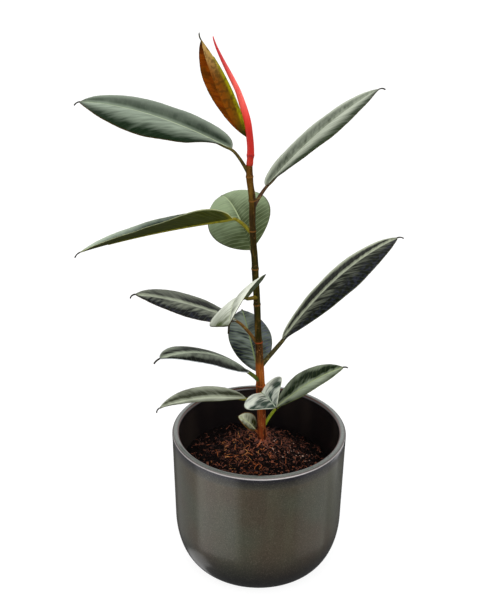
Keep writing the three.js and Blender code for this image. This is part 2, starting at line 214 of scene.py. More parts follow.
class Skin:
    """Points joined to surfaces, each with its materials and values for the materials."""

    def __init__(self, *value_names):
        self.points, self.faces, self.looks = [], [], []
        self.values = {name: [] for name in value_names}

    def join(self, points, faces, looks, **values):
        """Adds points, and faces by point numbers from 0, each with its material's index."""
        first = len(self.points)
        self.points += points.tolist()
        self.faces += [tuple(first + corner for corner in face) for face in faces]
        self.looks += looks
        for name, held in self.values.items():
            held += np.broadcast_to(values.get(name, 0.0), len(points)).tolist()

    def add(self, rings, look=0, **values):
        """Joins rings, an array of ring by point by xyz; look is a material's index, or one a column."""
        count, sides, _ = rings.shape
        last = (count - 1) * sides
        ends = [tuple(range(sides))[::-1], tuple(range(last, last + sides))]
        columns = np.broadcast_to(look, sides).tolist()
        looks = columns * (count - 1) + columns[:1] * len(ends)
        spread = {name: np.broadcast_to(value, (count, sides)).ravel() for name, value in values.items()}
        self.join(rings.reshape(-1, 3), ring_faces(count, sides) + ends, looks, **spread)

    def piece(self, name, node, slot, *materials):
        """The mesh object, in metres, riding with the plant and standing for its solid."""
        mesh = bpy.data.meshes.new(name)
        mesh.from_pydata((np.array(self.points) * MM).tolist(), [], self.faces)
        for value_name, held in self.values.items():
            mesh.attributes.new(value_name, "FLOAT", "POINT").data.foreach_set("value", held)
        for material in materials:
            mesh.materials.append(material)
        mesh.polygons.foreach_set("material_index", self.looks)
        mesh.polygons.foreach_set("use_smooth", [True] * len(self.faces))
        mesh.update()
        made = bpy.data.objects.new(name, mesh)
        bpy.context.scene.collection.objects.link(made)
        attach(made, "root")
        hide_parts(node)
        return made


def turned_rings(radius, height, sides):
    """Round level rings about the pot's axis."""
    angles = np.arange(sides) * 2 * np.pi / sides
    x, y = radius[:, None] * np.cos(angles), radius[:, None] * np.sin(angles)
    return np.stack([x, y, np.broadcast_to(height[:, None], x.shape)], -1)


def tube_rings(points, radii, sides=TUBE_SIDES, start=(0.0, 1.0, 0.0)):
    """Round sections along a line of points, without twist."""
    along = unit(np.gradient(points, axis=0))
    angles = np.arange(sides) * 2 * np.pi / sides
    u = np.array(start)
    rings = []
    for point, ahead, radius in zip(points, along, radii):
        u = unit(u - ahead * (u @ ahead))
        v = np.cross(ahead, u)
        rings.append(point + radius * (np.outer(np.cos(angles), u) + np.outer(np.sin(angles), v)))
    return np.array(rings)


# ---- Helpers: materials ----


def colour(code):
    """Linear colour of a #rrggbb code."""
    parts = [int(code[i:i + 2], 16) / 255 for i in (1, 3, 5)]
    return [c / 12.92 if c <= 0.04045 else ((c + 0.055) / 1.055) ** 2.4 for c in parts] + [1.0]


class Nodes:
    """Short calls for the nodes of one tree, a material's or the world's."""

    def __init__(self, tree):
        self.tree = tree

    def node(self, kind, inputs=(), **settings):
        made = self.tree.nodes.new("ShaderNode" + kind)
        for key, value in settings.items():
            setattr(made, key, value)
        for key, value in dict(inputs).items():
            self.feed(made.inputs[key], value)
        return made

    def feed(self, socket, value):
        if isinstance(value, bpy.types.NodeSocket):
            self.tree.links.new(value, socket)
        elif isinstance(value, str):
            socket.default_value = colour(value)
        else:
            socket.default_value = value

    def value(self, value):
        """The value itself, or for a name the one that the mesh holds under it."""
        if isinstance(value, str):
            return self.node("Attribute", attribute_name=value).outputs["Fac"]
        return value

    def math(self, operation, *values):
        inputs = {index: self.value(value) for index, value in enumerate(values)}
        return self.node("Math", inputs, operation=operation).outputs[0]

    def times(self, a, b):
        return self.math("MULTIPLY", a, b)

    def ramp(self, value, low, high, to_low=0.0, to_high=1.0):
        """A value mapped smoothly from low..high to to_low..to_high."""
        inputs = {"From Min": low, "From Max": high, "To Min": to_low, "To Max": to_high}
        inputs["Value"] = self.value(value)
        return self.node("MapRange", inputs, interpolation_type="SMOOTHSTEP").outputs["Result"]

    def noise(self, scale, detail=3.0, roughness=0.5, z_scale=1.0, where=None):
        """Noise with a scale in features a metre; a z_scale under 1 draws it out upwards."""
        if where is None:
            where = self.node("TexCoord").outputs["Object"]
        if z_scale != 1.0:
            where = self.node("VectorMath", {0: where, 1: (1, 1, z_scale)}, operation="MULTIPLY").outputs[0]
        inputs = {"Vector": where, "Scale": scale, "Detail": detail, "Roughness": roughness}
        return self.node("TexNoise", inputs).outputs["Fac"]

    def mix(self, share, a, b):
        """Colour a turned by a share into colour b."""
        inputs = {"Factor": self.value(share), 6: a, 7: b}
        return self.node("Mix", inputs, data_type="RGBA").outputs[2]

    def colours(self, value, stops):
        """A colour by a value, from a list of (value, code)."""
        start, end = stops[0][0], stops[-1][0]
        inputs = {"Value": self.value(value), "From Min": start, "From Max": end}
        made = self.node("ValToRGB", {"Fac": self.node("MapRange", inputs).outputs["Result"]})
        elements = made.color_ramp.elements
        while len(elements) < len(stops):
            elements.new(0.5)
        for element, (at, code) in zip(elements, stops):
            element.position = (at - start) / (end - start)
            element.color = colour(code)
        return made.outputs["Color"]


class Paint(Nodes):
    """A material being built round one Principled node; its colour, base, is laid on in layers."""

    def __init__(self, name, **settings):
        self.material = bpy.data.materials.new(name)
        self.material.use_nodes = True
        super().__init__(self.material.node_tree)
        self.principled = self.tree.nodes["Principled BSDF"]
        for socket, value in settings.items():
            self.set(socket.replace("_", " "), value)

    def set(self, socket, value):
        self.feed(self.principled.inputs[socket], value)

    def layer(self, top, share, low=None, high=None, most=1.0):
        """Lays on a colour by a share, or up to most as that value goes from low to high."""
        if low is not None:
            share = self.ramp(share, low, high, 0.0, most)
        self.base = self.mix(share, self.base, top)

    def finished(self, height, strength, distance):
        """The material, with its colour and with bumps by a height, distance in millimetres."""
        self.set("Base Color", self.base)
        inputs = {"Height": height, "Strength": strength, "Distance": distance * MM}
        self.set("Normal", self.node("Bump", inputs).outputs["Normal"])
        return self.material


# ---- Pot ----


def pot_radius(z, depth=0.0):
    """Outer radius of the pot at heights z; depth is how far inside that surface."""
    wall = POT_RIM_RADIUS - POT_TAPER * (POT_HEIGHT - z) / POT_HEIGHT
    fall = np.clip(1 - (z - depth) / (POT_HEEL_UP - depth), 0, 1)
    heel = POT_HEEL_IN * (1 - np.sqrt(1 - fall * fall))
    return wall - heel - depth


def pot_profile():
    """Radius and height from the middle of the base, up the outside, over the lip and down inside."""
    heel = POT_HEEL_UP * (1 - np.cos(np.linspace(0, np.pi / 2, POT_HEEL_STATIONS)))
    wall = np.linspace(POT_HEEL_UP, POT_HEIGHT - POT_WALL / 2, POT_WALL_STATIONS)[1:-1]
    outside = np.concatenate([heel, wall])
    lip_angle = np.linspace(0, np.pi, POT_LIP_STATIONS)
    lip = POT_WALL / 2
    inside = np.linspace(POT_HEIGHT - lip, POT_HEEL_UP, POT_INSIDE_STATIONS)[1:]
    fall = 1 - np.cos(np.linspace(np.pi / 2, 0, POT_INSIDE_STATIONS))[1:]
    hollow = np.concatenate([inside, between(POT_FLOOR, POT_HEEL_UP, fall)])
    radius = np.concatenate([
        POT_BASE_RADII,
        pot_radius(outside),
        POT_RIM_RADIUS - lip + lip * np.cos(lip_angle),
        pot_radius(hollow, POT_WALL),
        POT_BASE_RADII[::-1],
    ])
    height = np.concatenate([
        [0, 0], outside, POT_HEIGHT - lip + lip * np.sin(lip_angle), hollow, [POT_FLOOR, POT_FLOOR],
    ])
    return radius, height


def make_pot():
    radius, height = pot_profile()
    run = run_along(np.stack([radius, height], -1))
    lip_start = run[np.argmax(height)] - POT_WALL / 2 * np.pi / 2
    lip = (run - lip_start)[:, None]
    skin = Skin("height", "lip")
    skin.add(turned_rings(radius, height, POT_SIDES), height=height[:, None], lip=lip)
    return skin.piece("glazed_pot", "pot", "pot_glaze", pot_glaze())


# The glaze across the lip, with a painted highlight line at the pale stops from 1.8 to 2.7: millimetres
# from where the outer wall starts to round over it, and colour.
LIP_GLAZE_AND_HIGHLIGHT = [
    (-13, "#57544a"), (-8.5, "#4c4941"), (-4, "#3a3833"), (-1, "#2b2a30"), (1.2, "#1e1d26"),
    (1.8, "#77737a"), (2.2, "#c9c5c0"), (2.7, "#746b6c"), (3.4, "#3a2a22"), (4.4, "#535853"),
    (6, "#60655f"), (7.4, "#565a55"), (8, "#3a2a22"), (8.8, "#5a3020"), (9.8, "#241410"),
    (11.5, "#161214"), (15, "#1a1516"),
]


def pot_glaze():
    """Dark olive-grey satin glaze, paler and brown-lined along the lip with a painted highlight line on it,
    painted shade darker towards the base, and nearly black inside with a painted brown sheen.
    """
    paint = Paint("pot_glaze", Roughness=0.36, Metallic=0.25, Coat_Weight=0.9, Coat_Roughness=0.07)
    speckle = paint.noise(850, 2)
    paint.base = paint.mix(paint.ramp(paint.noise(14, 2), 0.35, 0.65), "#535446", "#564c3e")
    paint.layer("#64634f", paint.noise(60, 3, z_scale=0.12), 0.4, 0.7, 0.35)
    # Painted shade: the glaze darkens towards the base.
    paint.layer("#0f1018", "height", 68, 4)
    # The lip's glaze, with its painted highlight line.
    paint.layer(paint.colours("lip", LIP_GLAZE_AND_HIGHLIGHT), "lip", -12, -7.5)
    # Painted reflection: a faint brown sheen in streaks on the inside wall.
    sheen = paint.ramp(paint.noise(22, 2, z_scale=0.15), 0.45, 0.7, 0, 0.7)
    paint.layer("#39302a", paint.times(sheen, paint.ramp("lip", 10, 16)))
    pale = paint.ramp(speckle, 0.5, 0.75, 0, 0.16)
    paint.layer("#a8a490", paint.times(pale, paint.ramp("lip", 8, 5)))
    paint.layer("#1c1b1d", speckle, 0.5, 0.28, 0.3)
    return paint.finished(paint.noise(700, 4), 0.16, 0.4)


# ---- Soil ----


def soil_height(x, y):
    from_stem = np.hypot(x - STEM_AXIS[0][0], y - STEM_Y) / SOIL_MOUND_REACH
    high_side = math.radians(SOIL_HIGH_SIDE)
    tilt = SOIL_WALL_TILT * (x * math.cos(high_side) + y * math.sin(high_side)) / POT_RIM_RADIUS
    mound = (SOIL_PEAK_LEVEL - SOIL_WALL_LEVEL) * np.exp(-from_stem ** 2)
    lumps = np.sin(x / 7 + 1) * np.cos(y / 6) + np.sin(x / 13 - y / 9)
    return SOIL_WALL_LEVEL + tilt + mound + SOIL_LUMP / 2 * lumps


SOIL_GRAIN_WIDE = 4.5
SOIL_GRAIN_HIGH = 1.7
# The bed's tint turns it nearly black: its own dark peat, with painted shade in the gaps between crumbs.
SOIL_BED_SHADE_TINT = 0.04


def rough_soil_height(x, y):
    """The soil's surface with its crumbly roughness, at one point."""
    where = Vector((x / SOIL_GRAIN_WIDE, y / SOIL_GRAIN_WIDE, 0))
    return float(soil_height(x, y)) + SOIL_GRAIN_HIGH * noise.fractal(where, 0.7, 2.1, 4)


def make_soil():
    """The mound, down the pot's inside to its floor."""
    inset = POT_WALL + SOIL_CLEARANCE
    bottom = POT_FLOOR + SOIL_CLEARANCE / 2
    climb = 1 - np.cos(np.linspace(0, np.pi / 2, SOIL_SIDE_STATIONS))
    heights = between(bottom, POT_HEEL_UP, climb)
    side = turned_rings(pot_radius(heights, inset), heights, SOIL_SPOKES)
    radii = pot_radius(float(SOIL_WALL_LEVEL), inset) * np.arange(SOIL_RINGS, 0, -1) / SOIL_RINGS
    top = turned_rings(radii, radii, SOIL_SPOKES)
    top[..., 2] = [[rough_soil_height(x, y) for x, y, _ in ring] for ring in top]
    skin = Skin("tint")
    skin.add(np.concatenate([side, top]), tint=SOIL_BED_SHADE_TINT)
    return skin.piece("soil_bed", "soil", "soil", soil_material())


CRUMBS = 2000
CRUMB_SIZE = 1.08
CRUMB_SPREAD = 48
SPECKS = 40
SPECK_SIZES = (0.5, 1.2)
SPECK_SPREAD = 8
SPECK_CENTRES = [(18, 3), (46, 14)]
SOIL_FRINGE = 5
DENSEST_AHEAD_OF_STEM = 8
ROOTS = 11
ROOT_START = 3.5
ROOT_REACHES = (5, 12)
ROOT_RADII = (0.95, 0.4)
FIBRES = 1300
FIBRE_SPREADS = [26, 48, 65]
FIBRE_STATIONS = 11
FIBRE_STEPS = (0.6, 1.3)
FIBRE_RADII = (0.18, 0.4)
# The brightest fibres lie round a spot to the left of the stem and ahead of it: their own orange,
# brightened there as a painted pool of light.
PAINTED_LIGHT_SPOT = (STEM_AXIS[0][0] - 22, STEM_Y - 8)
PAINTED_LIGHT_REACH = 34
FINE_TUBE_START = (0.3, 0.2, 0.9)


def soil_spot(rng, spread):
    """A random spot on the soil, closer to the stem when spread is small."""
    while True:
        x, y = rng.normal(STEM_AXIS[0][0], spread), rng.normal(STEM_Y - DENSEST_AHEAD_OF_STEM, spread)
        if math.hypot(x, y) < POT_RIM_RADIUS - POT_WALL - SOIL_FRINGE:
            return x, y


def icosahedron():
    """Its 12 corners, at a distance of 1, and its faces as corner numbers, all facing out."""
    golden = (1 + 5 ** 0.5) / 2
    corners = unit(np.array([
        np.roll((0, a, b * golden), turn) for turn in (2, 0, 1) for a in (-1, 1) for b in (-1, 1)
    ]))
    just_over_edge = 1.2
    faces = []
    for face in combinations(range(12), 3):
        i, j, k = corners[list(face)]
        if np.linalg.norm([i - j, j - k, k - i], axis=1).max() < just_over_edge:
            faces.append(face if np.cross(j - i, k - i) @ i > 0 else face[::-1])
    return corners, faces


def make_crumbs(rng):
    """Crumbs of peat and bark, and a few pale specks, on the soil."""
    corners, faces = icosahedron()
    skin = Skin("tint")
    for index in range(CRUMBS + SPECKS):
        speck = index >= CRUMBS
        if speck:
            x, y = (rng.normal(centre, SPECK_SPREAD) for centre in SPECK_CENTRES[index % 2])
            size = rng.uniform(*SPECK_SIZES)
        else:
            x, y = soil_spot(rng, CRUMB_SPREAD)
            size = rng.gamma(4.0, CRUMB_SIZE / 4)
        turn = np.linalg.qr(rng.normal(size=(3, 3)))[0]
        turn *= np.sign(np.linalg.det(turn))
        lump = corners * rng.uniform(0.6, 1.15, (12, 1)) * rng.uniform(0.5, 1.2, 3) * size
        at = (x, y, rough_soil_height(x, y) + 0.25 * size)
        skin.join(lump @ turn.T + at, faces, [int(speck)] * len(faces), tint=rng.uniform(0, 1))
    return skin.piece("soil_crumbs", "soil", "soil", soil_material(), speck_material())


def add_roots(skin, rng):
    """Thin roots that spread from the stem's foot and dip into the soil."""
    u = np.linspace(0, 1, 9)
    for index in range(ROOTS):
        turn = 2 * np.pi * (index + rng.uniform(0, 0.7)) / ROOTS + rng.uniform(-0.9, 0.9) * u
        out = ROOT_START + rng.uniform(*ROOT_REACHES) * u
        x, y = STEM_AXIS[0][0] + out * np.cos(turn), STEM_Y + out * np.sin(turn)
        ground = np.array([rough_soil_height(a, b) for a, b in zip(x, y)])
        line = np.stack([x, y, ground + 3.2 * (1 - u) ** 2 - 1.2 * u ** 2], -1)
        rings = tube_rings(line, between(*ROOT_RADII, u), sides=8, start=FINE_TUBE_START)
        skin.add(rings, tint=rng.uniform(0.2, 0.6))


def make_fibres(rng):
    """Roots at the stem's foot, and curly coir fibres, closest together near it."""
    skin = Skin("tint")
    add_roots(skin, rng)
    for _ in range(FIBRES):
        x, y = soil_spot(rng, rng.choice(FIBRE_SPREADS))
        heading = rng.uniform(0, 360)
        lean = math.degrees(rng.uniform(-1.2, 1.2))
        bend = np.cumsum(rng.normal(rng.uniform(-0.8, 0.8), 0.4, FIBRE_STATIONS))
        rise = direction(heading + 90, 90 - lean) * (1, 1, 0.6)
        steps = np.outer(np.cos(bend), direction(heading, 0)) + np.outer(np.sin(bend), rise)
        line = np.cumsum(steps, axis=0) * rng.uniform(*FIBRE_STEPS)
        middle = line[FIBRE_STATIONS // 2]
        line += (x - middle[0], y - middle[1], rough_soil_height(x, y) - 0.5 - line[:, 2].min())
        radius = rng.uniform(*FIBRE_RADII) * np.sin(np.linspace(0.5, np.pi - 0.4, FIBRE_STATIONS))
        # Painted pool of light: fibres near the spot get brighter tints.
        painted_light = bump_at(math.dist((x, y), PAINTED_LIGHT_SPOT), 0, PAINTED_LIGHT_REACH)
        tint = 0.48 * rng.uniform(0, 1) + 0.8 * painted_light * rng.uniform(0, 1) ** 3
        skin.add(tube_rings(line, radius, sides=4, start=FINE_TUBE_START), tint=tint)
    return skin.piece("coir_fibres", "soil", "soil", fibre_material())


PEAT_COLOURS = [(0.4, "#020101"), (0.53, "#160906"), (0.63, "#46231a"), (0.76, "#80503f")]


def soil_material():
    """Dark peat, nearly black or red-brown by each crumb's tint; the bed nearly black, as painted shade
    between the crumbs.
    """
    paint = Paint("soil_peat", Roughness=0.95, Specular_IOR_Level=0.15)
    grain = paint.noise(700, 5, roughness=0.65)
    paint.base = paint.colours(grain, PEAT_COLOURS)
    paint.layer("#0c0403", paint.noise(70, 3), 0.42, 0.62, 0.5)
    # Low tints turn nearly black: crumbs at random, and the bed as painted shade in the gaps between
    # crumbs.
    paint.layer("#040202", "tint", 0.3, 0, 0.85)
    paint.layer("#96604c", "tint", 0.7, 1, 0.75)
    return paint.finished(grain, 0.9, 1.2)


def speck_material():
    paint = Paint("pale_specks", Roughness=0.7)
    grain = paint.noise(900, 2)
    paint.base = paint.mix(grain, "#b4806e", "#ecd0bc")
    return paint.finished(grain, 0.4, 0.3)


def fibre_material():
    """Dark brown to bright orange by each fibre's tint."""
    paint = Paint("coir_fibre", Roughness=0.7)
    paint.base = paint.colours("tint", [
        (0.0, "#120604"), (0.2, "#46221a"), (0.38, "#8e4c34"), (0.46, "#b86a4a"), (0.62, "#d8702e"),
        (0.9, "#ffb468"),
    ])
    paint.layer("#3a1a10", paint.noise(500, 2), 0.4, 0.6, 0.4)
    return paint.finished(paint.noise(2500, 2), 0.3, 0.1)


# ---- Stem ----


def at_height(pairs, z):
    """Values at heights z in a list of (value, height) pairs."""
    values, heights = zip(*pairs)
    return np.interp(z, heights, values)


def stem_line(z):
    """Points of the stem's axis at heights z, with its bends eased."""
    x = np.mean([at_height(STEM_AXIS, np.asarray(z, float) + d) for d in STEM_EASED_OVER], axis=0)
    return np.stack([x, np.full_like(x, STEM_Y), np.asarray(z, float)], -1)


# Slight knobs round the bark: how high, how many, and millimetres of height for a radian of turn.
BARK_KNOBS = [(0.14, 3, 9), (0.1, 5, -5)]


def make_stem():
    z = np.arange(STEM_FOOT, STEM_TOP + STEM_STATION_STEP / 2, STEM_STATION_STEP)
    radii = at_height(STEM_RADII, z)
    for scar in SCAR_HEIGHTS:
        for share, half in SCAR_FORMS:
            radii = radii + share * SCAR_PROUD * bump_at(z, scar, half)
    middle = stem_line(z)[:, None]
    rings = tube_rings(stem_line(z), radii, sides=STEM_SIDES)
    around = np.arctan2(rings[..., 1] - STEM_Y, rings[..., 0] - middle[..., 0])
    knobs = sum(high * np.sin(lobes * around + z[:, None] / climb) for high, lobes, climb in BARK_KNOBS)
    rings = rings + unit(rings - middle) * knobs[..., None]
    scarred = sum(bump_at(z, scar, 1.0) for scar in SCAR_HEIGHTS)
    skin = Skin("height", "scar")
    skin.add(rings, height=z[:, None], scar=np.clip(scarred, 0, 1)[:, None])
    return skin.piece("stem_bark", "stem", "bark", bark())


# The bark's colour by height.
BARK_COLOURS = [
    (STEM_FOOT, "#74301e"), (150, "#7c3616"), (180, "#7c3a12"), (205, "#985018"), (224, "#9a5218"),
    (229, "#5c3c14"), (245, "#5c3a14"), (252, "#3e2e0a"), (258, "#2a2606"), (300, "#37330a"),
    (331, "#2e2806"), (360, "#282002"), (385, "#322208"), (405, "#58400c"), (STEM_TOP, "#603a0a"),
]


def bark():
    """Orange-brown bark at the foot, dark olive-brown higher up, with paler rings at the scars."""
    paint = Paint("bark", Roughness=0.55, Specular_IOR_Level=0.1)
    paint.base = paint.colours("height", BARK_COLOURS)
    streaks = paint.noise(260, 4, roughness=0.6, z_scale=0.12)
    flecks = paint.noise(520, 3)
    woody = paint.ramp("height", 262, 222, 0.25, 1)
    paint.layer("#160a03", streaks, 0.52, 0.36, 0.75)
    paint.layer(paint.mix(woody, "#6c5a20", "#b06e34"), streaks, 0.54, 0.68, 0.5)
    paint.layer("#c4885a", paint.times(paint.ramp(flecks, 0.6, 0.7, 0, 0.6), woody))
    cracks = paint.ramp(paint.noise(330, 4, z_scale=0.3), 0.53, 0.42, 0, 0.85)
    paint.layer("#1c0804", paint.times(cracks, paint.ramp("height", 168, 140)))
    ring = paint.mix(paint.ramp("height", 290, 270), "#8a5a28", "#b24e2a")
    paint.layer(ring, "scar", 0.35, 0.9, 0.65)
    return paint.finished(paint.math("ADD", streaks, flecks), 0.5, 0.5)


# ---- Leaves ----


def leaf_shape(name):
    """The named leaf's values: its node, petiole and blade."""
    node, petiole, blade = LEAVES[name]
    shape = {"node": node, "petiole": petiole, **dict(zip(LEAF_FIELDS, blade))}
    return SimpleNamespace(**{**shape, **LEAF_PLAIN, **LEAF_EXTRAS.get(name, {})})


def midrib(leaf):
    """Stations along the midrib, out to the end of the drip tip: share, centre, frame and half-width."""
    s = eased(BLADE_STATIONS, 0.35)
    along = direction(leaf.azimuth + leaf.sweep * s, leaf.rise - leaf.droop * s ** DROOP_POWER)
    azimuth, rise, length, _ = leaf.petiole
    root = stem_line(leaf.node)
    start = root + length * direction(azimuth, rise)
    steps = (along[1:] + along[:-1]) / 2 * np.diff(s)[:, None] * leaf.length
    centre = start + np.concatenate([[np.zeros(3)], np.cumsum(steps, axis=0)])
    least = between(BASE_HALF_WIDTH, TIP_HALF_WIDTH, s)
    outline = np.sin(np.pi * s ** leaf.belly).clip(0) ** OUTLINE_POWER
    half = np.maximum(leaf.width / 2 * outline, least)
    hook = np.linspace(0, 1, DRIP_STATIONS + 1)[1:]
    drip = direction(leaf.azimuth + leaf.sweep, leaf.rise - leaf.droop - leaf.hook * DRIP_HOOK * hook)
    drip_length = min(DRIP_LENGTH, DRIP_SHARE * leaf.length)
    centre = np.concatenate([centre, centre[-1] + np.cumsum(drip, axis=0) * drip_length / DRIP_STATIONS])
    along = np.concatenate([along, drip])
    half = np.concatenate([half, between(TIP_HALF_WIDTH, DRIP_END_HALF_WIDTH, hook)])
    s = np.concatenate([s, np.ones(DRIP_STATIONS)])
    turn = np.radians(leaf.roll + leaf.twist * s)[:, None]
    level = unit(np.cross(along, UP))
    above = np.cross(level, along)
    side = level * np.cos(turn) + above * np.sin(turn)
    up = above * np.cos(turn) - level * np.sin(turn)
    return SimpleNamespace(root=root, s=s, centre=centre, along=along, side=side, up=up, half=half)


CREASE = 1.5
DRIP_THICKER = 0.6
MARGIN_POWER = 10
GROOVE_DEEP = 0.25
GROOVE_WIDE = 1.1
GROOVE_FULL_FROM = 8
VALLEY_DEEP = 0.9
VALLEY_WIDE = 3.4
VALLEY_FULL_FROM = 12
# Waves along the margin: how high, and millimetres for a radian of each.
WAVES = [(0.25, 8.5), (0.125, 5.1)]
CUP_FROM = 0.05
CUP_SHARE = 0.4
VEIN_LEAN = 0.45
RIDGE_LENGTHS = (5.6, 8.3, 13.9)
RIDGE_HIGH = 0.07
RIB_COVER = 0.05
RIB_SINKS_BY = 0.05
PETIOLE_THINS_TO = 0.8
PETIOLE_SINKS = 0.4
# The petiole's swelling at the stem: share of the radius, and the length over which it fades.
PETIOLE_SWELLING = (0.35, 3.5)


def vein_ridges(along, across, seed):
    """Irregular soft ridges along the lateral veins, mostly from -1 to 1."""
    run = along - VEIN_LEAN * np.abs(across)
    phase = seed * 2.4 + np.where(across > 0, 0.0, 1.9)
    waves = [np.sin(2 * np.pi * run / length + phase * (k + 1)) for k, length in enumerate(RIDGE_LENGTHS)]
    return np.mean(waves, axis=0) * 1.4


def blade_points(leaf, rib, t, seed):
    """Middle surface of the blade at shares t of the half-width, negative to the left.

    With it come its normals, the distance from the midrib, and the height of its ridges.
    """
    s, half, sign = rib.s[:, None], rib.half[:, None], np.sign(t)
    tucked_side, amount, until = leaf.tuck
    tuck = np.where(sign == tucked_side, amount, 0.0) * (1 - smooth_step(s / until))
    reach = np.abs(t) * (np.where(t > 0, leaf.near, 1.0) - tuck) * half
    fold = math.radians(leaf.fold)
    hang = leaf.edge / (leaf.width / 2) ** 2
    valley = VALLEY_DEEP * np.minimum(1, half / VALLEY_FULL_FROM)
    near_rib = bump_at(reach, 0, VALLEY_WIDE)
    creased = np.sqrt(reach ** 2 + CREASE ** 2)
    lift = math.sin(fold) * (creased - CREASE) - hang * reach ** 2 + valley * (1 - near_rib)
    slope = math.sin(fold) * reach / creased - 2 * hang * reach
    slope = slope + valley * 2 * reach / VALLEY_WIDE ** 2 * near_rib
    length = leaf.length * s
    phase = seed * 2.1 + np.where(t > 0, 0.0, 1.7)
    for k, (high, pace) in enumerate(WAVES):
        lift = lift + high * np.sin(length / pace + (k + 1) * phase) * t ** 2 * np.sin(np.pi * s)
    cup = leaf.cup * (1 - smooth_step((s - CUP_FROM) / CUP_SHARE)) * 2 * half / leaf.width
    lift = lift + cup * np.where(t < 0, t ** 2, 0.0)
    across = sign * reach
    ridges = vein_ridges(length, across, seed) * np.minimum(1, reach / 5)
    lift = lift + RIDGE_HIGH * ridges * np.minimum(1, leaf.width / 50)
    side, up = rib.side[:, None], rib.up[:, None]
    point = rib.centre[:, None] + side * (across * math.cos(fold))[..., None] + up * lift[..., None]
    normal = unit(up * math.cos(fold) - side * (sign * slope)[..., None])
    return point, normal, across, ridges


def petiole_points(leaf, rib):
    """The petiole's line from inside the stem to the blade, and the rib's on under it.

    With it come the radii, and how far each point is beyond the blade's start.
    """
    _, _, length, radius = leaf.petiole
    blade_radius = PETIOLE_THINS_TO * radius
    start, along = rib.centre[0], rib.along[0]
    bend = start - along * PETIOLE_BEND * length
    u = np.linspace(0, 1, PETIOLE_STATIONS + 1)[:-1, None]
    line = (1 - u) ** 2 * rib.root + 2 * u * (1 - u) * bend + u ** 2 * start
    line = line - PETIOLE_SINKS * blade_radius * u * rib.up[0]
    swelling = PETIOLE_SWELLING[0] * np.exp(-u[:, 0] * length / PETIOLE_SWELLING[1])
    radii = between(radius, blade_radius, u[:, 0]) * (1 + swelling)
    kept = rib.s <= RIB_END
    s = rib.s[kept]
    rib_radii = between(blade_radius, RIB_END_RADIUS, np.sqrt(s / RIB_END))
    deeper = ((1 - PETIOLE_SINKS) * rib_radii - RIB_COVER) * smooth_step(s / RIB_SINKS_BY)
    sunk = PETIOLE_SINKS * rib_radii + deeper
    under = rib.centre[kept] - sunk[:, None] * rib.up[kept]
    distance = np.concatenate([(u[:, 0] - 1) * length, s * leaf.length])
    return np.concatenate([line, under]), np.concatenate([radii, rib_radii]), distance


def round_blade(upper, lower):
    """One ring a station: the lower face's columns, then back over the upper face's."""
    return np.concatenate([upper, lower[:, -2:0:-1]], axis=1)[:, ::-1]


def make_leaf(name, slot, seed, upper, under, petiole):
    """A leaf: petiole and rib as one tube, and a blade that is thin at its margin."""
    leaf = leaf_shape(name)
    rib = midrib(leaf)
    half_t = eased(BLADE_HALF_COLUMNS, 0.5)
    t = np.concatenate([-half_t[:0:-1], half_t])[None]
    middle, normal, across, ridges = blade_points(leaf, rib, t, seed)
    near_tip = 0.6 * smooth_step((rib.s[:BLADE_STATIONS] - 0.95) / 0.05)
    tip = np.concatenate([near_tip, np.ones(DRIP_STATIONS)])[:, None]
    thick = BLADE_THICK / 2 * np.sqrt(1 - np.abs(t) ** MARGIN_POWER) * (1 + DRIP_THICKER * tip)
    groove = GROOVE_DEEP * bump_at(across, 0, GROOVE_WIDE)
    groove = groove * np.minimum(1, rib.half[:, None] / GROOVE_FULL_FROM)
    rings = round_blade(middle + normal * (thick - groove)[..., None], middle - normal * thick[..., None])
    looks = np.where(np.arange(rings.shape[1]) < t.size - 1, 0, 1)[::-1]
    share = np.broadcast_to(t, across.shape)
    share, across, ridges = (round_blade(values, values) for values in (share, across, ridges))
    skin = Skin("along", "across", "share", "margin", "ridge", "tip")
    skin.add(rings, look=looks, along=leaf.length * rib.s[:, None], across=across, share=share,
             margin=(1 - np.abs(share)) * rib.half[:, None], ridge=ridges, tip=tip)
    line, radii, distance = petiole_points(leaf, rib)
    tube = tube_rings(line, radii, start=rib.side[0])
    skin.add(tube, look=2, along=distance[:, None], margin=FAR_FROM_MARGIN)
    return skin.piece(name + "_skin", name, slot, upper, under, petiole)


FAR_FROM_MARGIN = 9.0
VEIN_SPACING = 5.2
VEIN_DRIFT = 5.0
MIDRIB_HALF = 0.95
MIDRIB_END_HALF = 0.45
BAND_HALF = 5.5
STREAK_SPACING = 3.2
STREAK_REACH = 15
PATCH_SCALE = 45
DRIP_TIP = "#1e1a0a"


def by_half(paint, left, right):
    """One value on the blade's left half and another on its right half."""
    on_right = paint.math("GREATER_THAN", "share", 0)
    return paint.math("MULTIPLY_ADD", on_right, right - left, left)


def vein_run(paint, slant=VEIN_LEAN):
    """Millimetres along the midrib to where the line through a point that has this slant leaves it."""
    return paint.math("SUBTRACT", "along", paint.times(paint.math("ABSOLUTE", "across"), slant))


def vein_mask(paint):
    """1 on the lateral veins, which leave the midrib at a slant towards the tip."""
    run = paint.math("ADD", vein_run(paint), paint.times(paint.noise(40, 2), VEIN_DRIFT))
    wave = paint.math("PINGPONG", paint.math("DIVIDE", run, VEIN_SPACING), 0.5)
    return paint.ramp(wave, 0.34, 0.5)


def streaks(paint, seed, spacing=STREAK_SPACING, slant=VEIN_LEAN):
    """Soft bands at a slant across each half, about 0 to 1."""
    where = paint.node("CombineXYZ", {
        "X": paint.math("DIVIDE", vein_run(paint, slant), spacing),
        "Y": paint.math("DIVIDE", "across", STREAK_REACH),
        "Z": by_half(paint, seed * 3.1, seed * 3.1 + 7.3),
    }).outputs[0]
    return paint.noise(1, 1.5, where=where)


